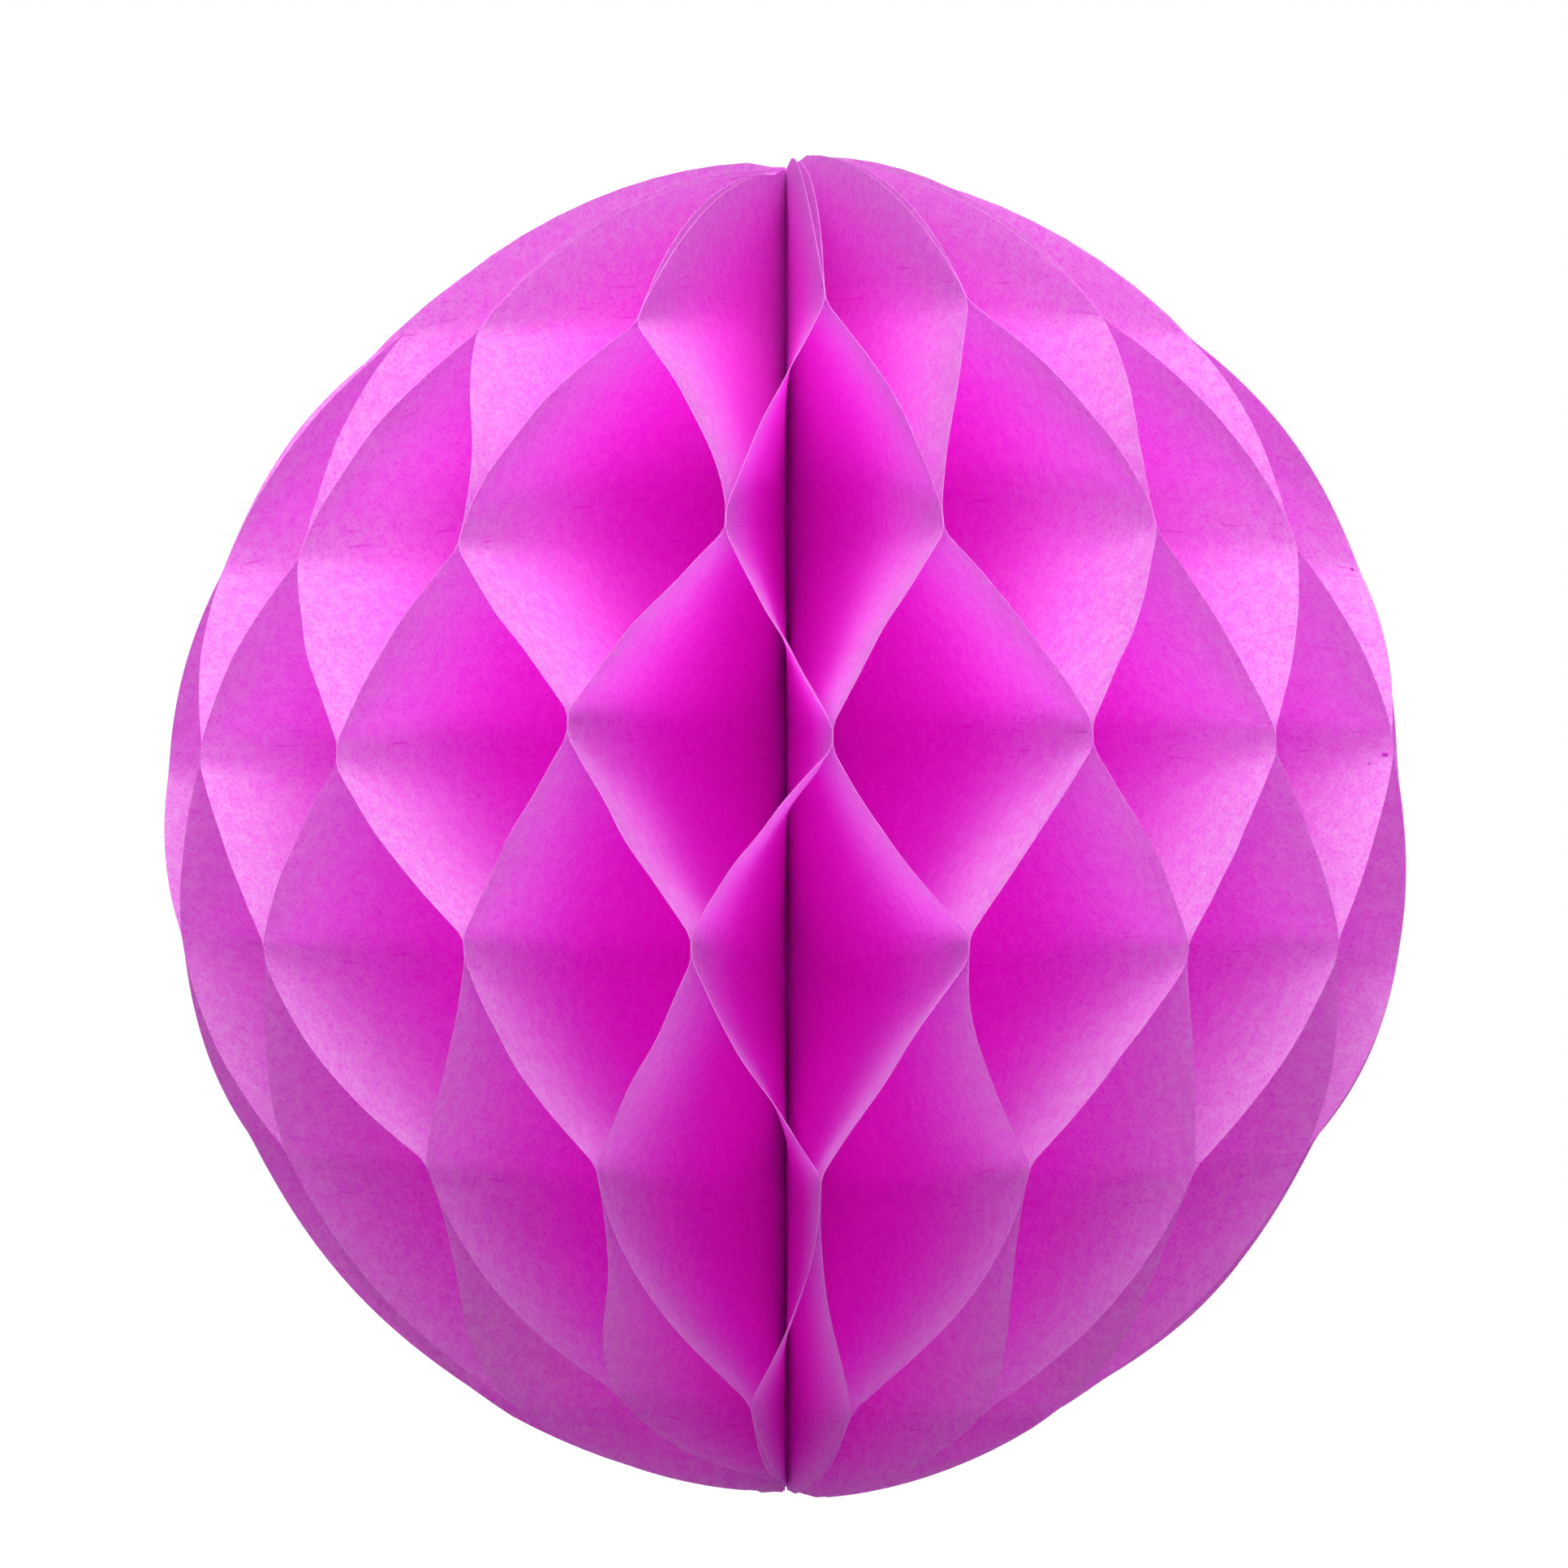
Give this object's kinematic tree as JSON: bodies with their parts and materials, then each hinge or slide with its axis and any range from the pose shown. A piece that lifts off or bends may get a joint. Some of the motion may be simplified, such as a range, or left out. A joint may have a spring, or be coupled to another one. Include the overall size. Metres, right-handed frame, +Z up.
{
  "type": "honeycomb paper ball",
  "caption": "Hanging decoration: tissue paper leaves glued in alternate strips and opened round a thread spine into a ball of diamond-shaped cells.",
  "frame": {"origin": "middle of the ball, on the spine halfway between the top and bottom tips of the leaves", "axes": "+Z up along the spine; the picture looks along +Y, and the frontmost glue joint lies 3.3 degrees to the right (+X) of the -Y side"},
  "size_m": [0.14, 0.14, 0.1498],
  "materials": {
    "tissue": "matt, thin, lets light through",
    "thread": "matt cotton"
  },
  "bodies": {
    "root": {"leaf_01": "tissue", "leaf_02": "tissue", "leaf_03": "tissue", "leaf_04": "tissue", "leaf_05": "tissue", "leaf_06": "tissue", "leaf_07": "tissue", "leaf_08": "tissue", "leaf_09": "tissue", "leaf_10": "tissue", "leaf_11": "tissue", "leaf_12": "tissue", "leaf_13": "tissue", "leaf_14": "tissue", "leaf_15": "tissue", "leaf_16": "tissue", "leaf_17": "tissue", "leaf_18": "tissue", "leaf_19": "tissue", "leaf_20": "tissue", "leaf_21": "tissue", "leaf_22": "tissue", "leaf_23": "tissue", "leaf_24": "tissue", "leaf_25": "tissue", "leaf_26": "tissue", "leaf_27": "tissue", "leaf_28": "tissue", "leaf_29": "tissue", "leaf_30": "tissue", "leaf_31": "tissue", "leaf_32": "tissue", "spine_thread": "thread"}
  },
  "joints": []
}
